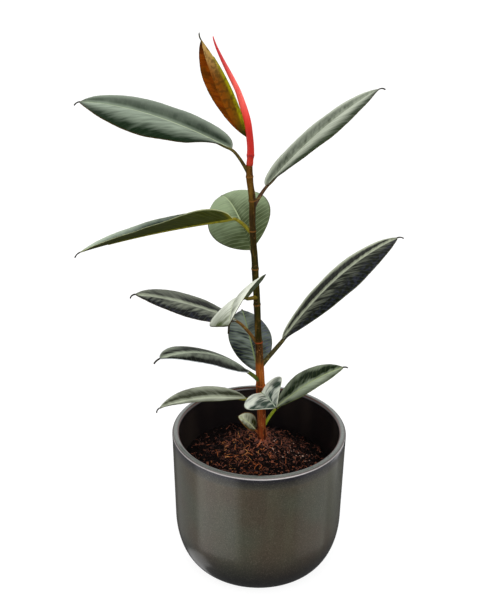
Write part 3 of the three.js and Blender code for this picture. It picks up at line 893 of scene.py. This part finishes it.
def midrib_mask(paint, widen=1.0):
    """1 on the midrib, which narrows towards the tip."""
    width = paint.ramp("along", 0, 150, MIDRIB_HALF * widen, MIDRIB_END_HALF * widen)
    return paint.ramp(paint.math("DIVIDE", paint.math("ABSOLUTE", "across"), width), 1.1, 0.5)


def painted_sheen_map(paint, length, sheen_tones):
    """How strong the painted sheen on the upper face is: each half's inner and outer part, the band by the
    midrib, and tipward.
    """
    left, left_edge, right, right_edge, by_rib, tipward = sheen_tones
    out = paint.ramp(paint.math("ABSOLUTE", "share"), 0.3, 0.95)
    edge = paint.times(by_half(paint, left_edge, right_edge), out)
    halves = paint.math("ADD", by_half(paint, left, right), edge)
    band = paint.ramp(paint.math("ABSOLUTE", "across"), BAND_HALF, 1, 0, by_rib)
    climb = paint.math("MULTIPLY_ADD", "along", tipward / length, -tipward / 2)
    return paint.math("ADD", halves, paint.math("ADD", band, climb))


def leaf_upper(name, seed, leaf, dark, light, rib_colour, margin_colour, sheen_tones, veins, sheen_strokes):
    """Waxy upper face: dark green under a painted sheen in the light colour, with soft streaks and patches,
    a painted blue sheen, veins, a midrib and a thin margin.
    """
    paint = Paint(name, Roughness=0.38, Specular_IOR_Level=0.035)
    left_sheen_stroke, right_sheen_stroke, patchy, spacing, slant, left_blue_sheen, right_blue_sheen = sheen_strokes
    out = paint.math("ABSOLUTE", "share")
    strength = paint.times(by_half(paint, left_sheen_stroke, right_sheen_stroke), paint.ramp(out, 0.1, 0.95, 1, 0.4))
    bands = streaks(paint, seed, spacing, slant)
    # Painted highlights: the sheen is laid on in streaks and over the vein ridges.
    sheen_stroke = paint.math("MULTIPLY_ADD", "ridge", 0.4, paint.ramp(bands, 0.3, 0.7, -1, 1))
    painted_sheen = paint.math("MULTIPLY_ADD", sheen_stroke, strength, painted_sheen_map(paint, leaf.length, sheen_tones))
    patches = paint.ramp(paint.noise(PATCH_SCALE, 2), 0.38, 0.62, -patchy, patchy)
    # Painted sheen: the light colour over the dark green.
    paint.base = paint.mix(paint.math("ADD", painted_sheen, patches), dark, light)
    # Painted reflection: a blue sheen in patches on each half's outer part.
    blue = paint.times(by_half(paint, left_blue_sheen, right_blue_sheen), paint.ramp(out, 0.3, 0.75))
    blue = paint.times(blue, paint.ramp(paint.noise(260, 4), 0.44, 0.64))
    paint.layer("#4c4e6a", blue)
    vein = vein_mask(paint)
    paint.layer(rib_colour, paint.times(vein, veins))
    pale = paint.ramp("along", leaf.rib_from - 12, leaf.rib_from + 8)
    paint.layer(rib_colour, paint.times(midrib_mask(paint), pale))
    paint.layer(margin_colour, "margin", MARGIN_WIDE, 0.4)
    paint.layer(DRIP_TIP, "tip")
    return paint.finished(paint.math("MULTIPLY_ADD", vein, -0.4, bands), 0.15, 0.6)


def leaf_under(name, seed, leaf, green, rib_colour, margin_colour):
    """Duller underside with raised veins and a rib."""
    paint = Paint(name, Roughness=0.5, Specular_IOR_Level=0.15)
    vein = vein_mask(paint)
    paint.base = green
    paint.layer("#59643c", streaks(paint, seed), 0.3, 0.7, 0.35)
    paint.layer(rib_colour, paint.times(vein, 0.2))
    paint.layer(rib_colour, midrib_mask(paint, 1.3))
    paint.layer(rib_colour, "along", 7, 0)
    paint.layer(margin_colour, "margin", leaf.margin, 0.3 * leaf.margin)
    paint.layer(DRIP_TIP, "tip")
    return paint.finished(paint.math("ADD", vein, paint.noise(200, 3)), 0.25, 0.6)


def stalk(name, base_colour, tip_colour):
    """Petiole: flecked, and turning to the rib's colour under the blade."""
    paint = Paint(name, Roughness=0.42, Specular_IOR_Level=0.15)
    flecks = paint.noise(300, 3)
    paint.base = paint.mix(paint.ramp("along", -7, 7), base_colour, tip_colour)
    paint.layer("#201a08", flecks, 0.5, 0.72, 0.45)
    paint.layer("#b09a50", flecks, 0.46, 0.3, 0.3)
    return paint.finished(flecks, 0.25, 0.4)


# Colours a leaf: upper dark, upper light (its painted sheen), midrib, underside, petiole, the petiole at
# the blade, and margin (a painted highlight on leaf_09 and leaf_12). Then how strong its painted sheen is
# (see painted_sheen_map), how strong its veins are, and how its sheen is laid on in streaks: how strong on
# the left and right half and in patches, their spacing and slant, and how strong each half's painted blue
# sheen is.
LEAF_LOOKS = {
    "leaf_01": ("#0c1f0a #99a793 #a6b292 #3d4a24 #4c3f14 #6a6628 #4c3c1c",
        (0.65, -0.7, 0.15, 0.55, 0.35, 0.15), 0.02, (0.16, 0.02, 0.05, 7, 1.0, 0, 0)),
    "leaf_02": ("#182807 #b7bfab #b9c2a7 #3d4a24 #4a3018 #55482a #3a2c18",
        (0.22, 1.0, 0.95, -1.0, 0.2, 0.2), 0.06, (0.08, 0.18, 0.04, 4, 1.0, 0, 0)),
    "leaf_03": ("#15291d #aab8a4 #adb882 #3f460e #7a7210 #8a8420 #c2c896",
        (0.1, 0.7, -0.3, 0.65, 0.0, 2.3), 0.04, (0.06, 0.06, 0.1, 4, 0.6, 0, 0)),
    "leaf_04": ("#455031 #90a27c #a5b488 #3d4a24 #4f4a26 #6d6c3c #565c3a",
        (0.65, 0.0, 0.3, 0.25, -0.2, 1.6), 0.3, (0.12, 0.12, 0.1, 3.2, 0.45, 0, 0)),
    "leaf_05": ("#434d28 #f4f9e8 #c4cead #66735c #6b5a14 #5c5a18 #3c3818",
        (1.05, 0.7, 1.0, -0.3, 0.1, -1.8), 0.05, (0.12, 0.16, 0.12, 3, 0.6, 0, 0)),
    "leaf_06": ("#080b06 #b8bfa9 #adb49d #40461e #6b4a1e #6d5a28 #4a4436",
        (0.2, -0.4, 0.05, 0.25, 0.6, 0.1), 0.06, (0.22, 0.08, 0.08, 5, 1.0, 0.15, 0)),
    "leaf_07": ("#0b1003 #c2c9ae #bac2a6 #3c421e #3f3a18 #3a3510 #4c4c40",
        (-0.1, 1.4, 0.07, -0.2, 0.7, 0.0), 0.04, (0.12, 0.14, 0.04, 3.6, 0.9, 0, 0.2)),
    "leaf_08": ("#12181a #6a746c #738256 #3d4a24 #4f4a26 #6d6c3c #3c4432",
        (0.8, -0.6, 0.4, 0.1, 0.0, 0.45), 0.32, (0.5, 0.1, 0.25, 3.4, 0.3, 0.1, 0.5)),
    "leaf_09": ("#080b06 #b0baa4 #b0baa1 #3c4620 #4f5a1c #5b5e24 #bcc2c4",
        (0.4, -0.5, 0.12, 0.5, 0.72, -0.3), 0.05, (0.1, 0.16, 0.1, 4, 0.9, 0, 0)),
    "leaf_10": ("#343825 #d4dbc1 #c4ccad #3c4620 #8f8a2a #a8a640 #4a4c34",
        (1.05, -0.75, -0.1, 0.55, 0.55, -0.3), 0.05, (0.1, 0.08, 0.12, 4.5, 0.7, 0, 0)),
    "leaf_11": ("#0f1e06 #aebb9e #adba82 #4a5a20 #7d8c1e #8d9630 #56602e",
        (-0.05, 0.4, 0.8, -0.75, 0.55, 0.1), 0.06, (0.12, 0.14, 0.15, 4, 0.9, 0, 0)),
    "leaf_12": ("#34443a #f0f6e6 #a9b6a0 #5a6a3a #8f8a3a #a8a650 #c8cdb8",
        (0.55, 0.15, 0.4, 0.25, 0.0, -2.1), 0.1, (0.2, 0.3, 0.55, 3.2, 0.45, 0, 0)),
    "leaf_13": ("#2e2e10 #ccd0b4 #bdc495 #4d5428 #9a4d22 #8a5a2a #6a4a22",
        (0.4, -0.3, 0.05, 0.65, 0.2, 0.8), 0.08, (0.3, 0.3, 0.3, 3.2, 0.45, 0, 0)),
}
# These two leaves have a nearly white sheen colour: painted glare.
GLARE_PAINTED_LEAVES = ("leaf_05", "leaf_12")


def make_leaves():
    for seed, (name, (colours, sheen_tones, veins, sheen_strokes)) in enumerate(LEAF_LOOKS.items()):
        dark, light, rib, under, root, top, margin = colours.split()
        leaf = leaf_shape(name)
        make_leaf(
            name, "leaf_pale" if name in GLARE_PAINTED_LEAVES else "leaf_green", seed,
            leaf_upper(name + "_upper", seed, leaf, dark, light, rib, margin, sheen_tones, veins, sheen_strokes),
            leaf_under(name + "_under", seed, leaf, under, top, margin),
            stalk(name + "_stalk", root, top),
        )


YOUNG_SEED = 17


def young_inside():
    """Orange-brown inner face of the newest leaf, dark green towards its tip."""
    paint = Paint("young_inside", Roughness=0.4, Specular_IOR_Level=0.05)
    bands = streaks(paint, YOUNG_SEED)
    paint.base = paint.mix(paint.ramp(bands, 0.15, 0.85), "#7c3200", "#b05804")
    paint.layer("#5a3404", paint.noise(110, 4), 0.46, 0.62, 0.6)
    paint.layer("#1f2410", "along", 84, 103)
    paint.layer("#4a3a08", "margin", 0.9, 0.3)
    return paint.finished(bands, 0.3, 0.6)


# The young leaf's outer colour by the distance from its midrib.
YOUNG_COLOURS = [(0, "#b0aa08"), (1.92, "#948c06"), (3.84, "#6e4e06"), (9.6, "#7c4404"), (16, "#8c4a06")]


def young_outside():
    """Olive-tan outer face of the newest leaf, with a yellow-green midrib, a painted highlight by the
    midrib towards the tip, and a dark foot.
    """
    paint = Paint("young_outside", Roughness=0.42, Specular_IOR_Level=0.05)
    across = paint.math("ABSOLUTE", "across")
    # Painted highlight: pale tan by the midrib towards the tip.
    pale = paint.times(paint.ramp("along", 58, 98, 0, 0.9), paint.ramp(across, 13, 6, 0.25, 1))
    paint.base = paint.mix(pale, paint.colours(across, YOUNG_COLOURS), "#bc9658")
    mottle = paint.math("MULTIPLY_ADD", streaks(paint, YOUNG_SEED), 0.45, 0.27)
    mottle = paint.math("ADD", mottle, paint.ramp(paint.noise(260, 4), 0.3, 0.7, -0.2, 0.2))
    paint.layer("#3e2a06", mottle, 0.42, 0.66, 0.55)
    paint.layer("#262a06", "along", 24, 2)
    paint.layer("#2c3010", "tip")
    return paint.finished(mottle, 0.3, 0.6)


def make_young_leaf():
    """The newest leaf, folded along its midrib."""
    petiole = stalk("young_stalk", "#3a3c0c", "#8f9014")
    make_leaf("young_leaf", "leaf_bronze", YOUNG_SEED, young_inside(), young_outside(), petiole)


# ---- Sheath ----

# How the sheath swells and narrows at its kink: height from it, half-height and share of the radius.
SHEATH_BULGES = [(0, 1.6, 0.12), (-4, 2, -0.08)]
SHEATH_LOBES = 0.05
# A ridge up the sheath: its angle and half-width in radians, and share of the radius.
SHEATH_RIDGE = (4.4, 0.25, 0.06)


def make_sheath():
    points = np.array(SHEATH, float)
    run = run_along(points[:, :3])
    fine = np.linspace(0, run[-1], SHEATH_STATIONS)
    moved = [[np.interp(fine + d, run, column) for column in points.T] for d in SHEATH_EASED_OVER]
    line = np.mean(moved, axis=0).T
    line[0], line[-1] = points[0], points[-1]
    bulge = sum(share * bump_at(line[:, 2], SHEATH_KINK + up, half) for up, half, share in SHEATH_BULGES)
    rings = tube_rings(line[:, :3], line[:, 3] * (1 + bulge), sides=SHEATH_SIDES)
    angles = np.arange(SHEATH_SIDES) * 2 * np.pi / SHEATH_SIDES
    ridge_at, ridge_half, ridge_high = SHEATH_RIDGE
    outline = 1 + SHEATH_LOBES * np.cos(3 * angles) + ridge_high * bump_at(angles, ridge_at, ridge_half)
    middle = line[:, None, :3]
    skin = Skin("height", "around")
    skin.add(middle + (rings - middle) * outline[:, None], height=line[:, 2:3], around=angles[None])
    return skin.piece("sheath_skin", "sheath", "sheath_red", sheath_red())


def sheath_red():
    """Bright red with pale streaks painted as highlights, darker towards both ends, with a slanting line of
    painted shade in the crease at the kink, and a faint painted red glow.
    """
    # Painted glow: a faint red emission, though the sheath is no lamp.
    paint = Paint("sheath_red", Roughness=0.4, Emission_Color="#ff3020", Emission_Strength=0.12,
                  Subsurface_Weight=0.2, Subsurface_Scale=1.0,
                  Subsurface_Radius=(2.0 * MM, 0.6 * MM, 0.5 * MM))
    streaks = paint.noise(220, 3, z_scale=0.1)
    paint.base = paint.mix(paint.ramp(streaks, 0.35, 0.65), "#e02c24", "#fa4c3e")
    # Painted highlights: pale pink along the streaks.
    paint.layer("#ffb0a4", streaks, 0.6, 0.75, 0.5)
    paint.layer("#a81c14", "height", 492, 462, 0.85)
    # Painted highlights: coral along the streaks.
    paint.layer("#ff8a78", streaks, 0.56, 0.7, 0.7)
    paint.layer("#ff8a80", "height", 478, 500, 0.4)
    paint.layer("#b4182c", "height", 512, 540, 0.8)
    paint.layer("#7c4018", "height", 452, 438, 0.35)
    # Painted shade: a dark slanting line in the crease at the kink.
    slant = paint.times(paint.math("COSINE", "around"), 2.5)
    from_kink = paint.math("SUBTRACT", paint.math("ADD", "height", slant), SHEATH_KINK - 2)
    paint.layer("#6c101a", paint.math("ABSOLUTE", from_kink), 2, 0, 0.75)
    return paint.finished(streaks, 0.3, 0.5)


# ---- Stage, light and camera ----

BACKDROP_RADIUS = 20000
BACKDROP_CURVE = 6000
BACKDROP_HEIGHT = 26000
BACKDROP_GLOW = 0.85
BACKDROP_SIDES = 48
# The room's brightness by direction, in degrees: dim under the horizon, bright above it.
ROOM_DIM = 0.07
ROOM_BRIGHT = 1.0
ROOM_DIM_BELOW = -14
ROOM_BRIGHT_ABOVE = 20
# Brighter places in it: azimuth, elevation, their half-widths, and the brightness that each adds.
ROOM_GLOWS = [
    (97, 38, 34, 20, 0.35), (262, 50, 70, 32, 0.7),
    (300, 20, 34, 6, 2.0), (31, -20, 12, 14, 1.35),
    (211, -26, 33, 17, 0.75), (352, -26, 27, 17, 0.28),
    (148, -52, 34, 6, 0.5), (148, -24, 25, 19, 0.15),
]
GLOW_EDGE = 8.0
CAMERA_AT = (-0.6, -1010.4, 801.0)
CAMERA_PITCH = 26.60
CAMERA_YAW = -0.85
CAMERA_ROLL = 0.44
FOCAL_PIXELS = 1151
PHOTO_LONG_SIDE = 612
SENSOR = 36


def make_floor():
    """A plain pale floor that curves up into a backdrop all round.

    The room lights the plant alone, so that nothing is thrown up from the floor.
    """
    bend = np.linspace(0, np.pi / 2, 10)
    flat = BACKDROP_RADIUS - BACKDROP_CURVE
    radius = np.concatenate([[1], flat + BACKDROP_CURVE * np.sin(bend), [BACKDROP_RADIUS]])
    height = np.concatenate([[0], BACKDROP_CURVE * (1 - np.cos(bend)), [BACKDROP_HEIGHT]])
    rings = turned_rings(radius, height, BACKDROP_SIDES)[:, ::-1] * MM
    faces = [tuple(range(BACKDROP_SIDES))[::-1]] + ring_faces(len(rings), BACKDROP_SIDES)
    mesh = bpy.data.meshes.new("floor")
    mesh.from_pydata(rings.reshape(-1, 3).tolist(), [], faces)
    mesh.materials.append(floor_material())
    floor = bpy.data.objects.new("floor", mesh)
    bpy.context.scene.collection.objects.link(floor)
    floor.visible_diffuse = floor.visible_glossy = floor.visible_transmission = floor.visible_shadow = False


def floor_material():
    paint = Paint("floor", Roughness=1.0, Specular_IOR_Level=0.0, Emission_Color="#ffffff",
                  Emission_Strength=BACKDROP_GLOW)
    paint.set("Base Color", paint.mix(paint.noise(3, 2), "#7c7c7c", "#828282"))
    return paint.material


def make_room():
    """Light from all round, as in a white studio with a dark table."""
    world = bpy.data.worlds.new("studio")
    bpy.context.scene.world = world
    world.use_nodes = True
    room = Nodes(world.node_tree)
    axes = room.node("SeparateXYZ", {0: room.node("TexCoord").outputs["Generated"]}).outputs
    azimuth = room.math("DEGREES", room.math("ARCTAN2", axes["Y"], axes["X"]))
    elevation = room.math("DEGREES", room.math("ARCSINE", axes["Z"]))
    light = room.ramp(elevation, ROOM_DIM_BELOW, ROOM_BRIGHT_ABOVE, ROOM_DIM, ROOM_BRIGHT)
    for glow_azimuth, glow_elevation, half_wide, half_high, strength in ROOM_GLOWS:
        turn = room.math("WRAP", room.math("SUBTRACT", azimuth, glow_azimuth), 180, -180)
        turn = room.math("DIVIDE", turn, half_wide)
        climb = room.math("DIVIDE", room.math("SUBTRACT", elevation, glow_elevation), half_high)
        far = room.math("ADD", *(room.math("POWER", offset, GLOW_EDGE) for offset in (turn, climb)))
        glow = room.math("EXPONENT", room.times(far, -1))
        light = room.math("MULTIPLY_ADD", glow, strength, light)
    background = world.node_tree.nodes["Background"]
    background.inputs["Color"].default_value = (1.0, 1.0, 1.0, 1.0)
    room.feed(background.inputs["Strength"], light)


def make_camera():
    """The photograph's viewpoint, found from the pot's rim, wall and base in it."""
    ahead = Vector(direction(90 - CAMERA_YAW, -CAMERA_PITCH))
    right = Vector(direction(-CAMERA_YAW, 0))
    level = Matrix((right, right.cross(ahead), -ahead)).transposed().to_4x4()
    roll = Matrix.Rotation(math.radians(CAMERA_ROLL), 4, "Z")
    data = bpy.data.cameras.new("camera")
    data.sensor_width = SENSOR
    data.lens = FOCAL_PIXELS / PHOTO_LONG_SIDE * SENSOR
    data.clip_start, data.clip_end = 0.05, 100
    camera = bpy.data.objects.new("camera", data)
    bpy.context.scene.collection.objects.link(camera)
    camera.matrix_world = Matrix.Translation(Vector(CAMERA_AT) * MM) @ level @ roll
    bpy.context.scene.camera = camera


# ---- Assembly ----

SOIL_SEED = 11

bpy.context.scene.view_settings.view_transform = "Standard"
make_camera()
make_floor()
make_room()
make_pot()
make_soil()
soil_random = np.random.default_rng(SOIL_SEED)
make_crumbs(soil_random)
make_fibres(soil_random)
make_stem()
make_leaves()
make_young_leaf()
make_sheath()
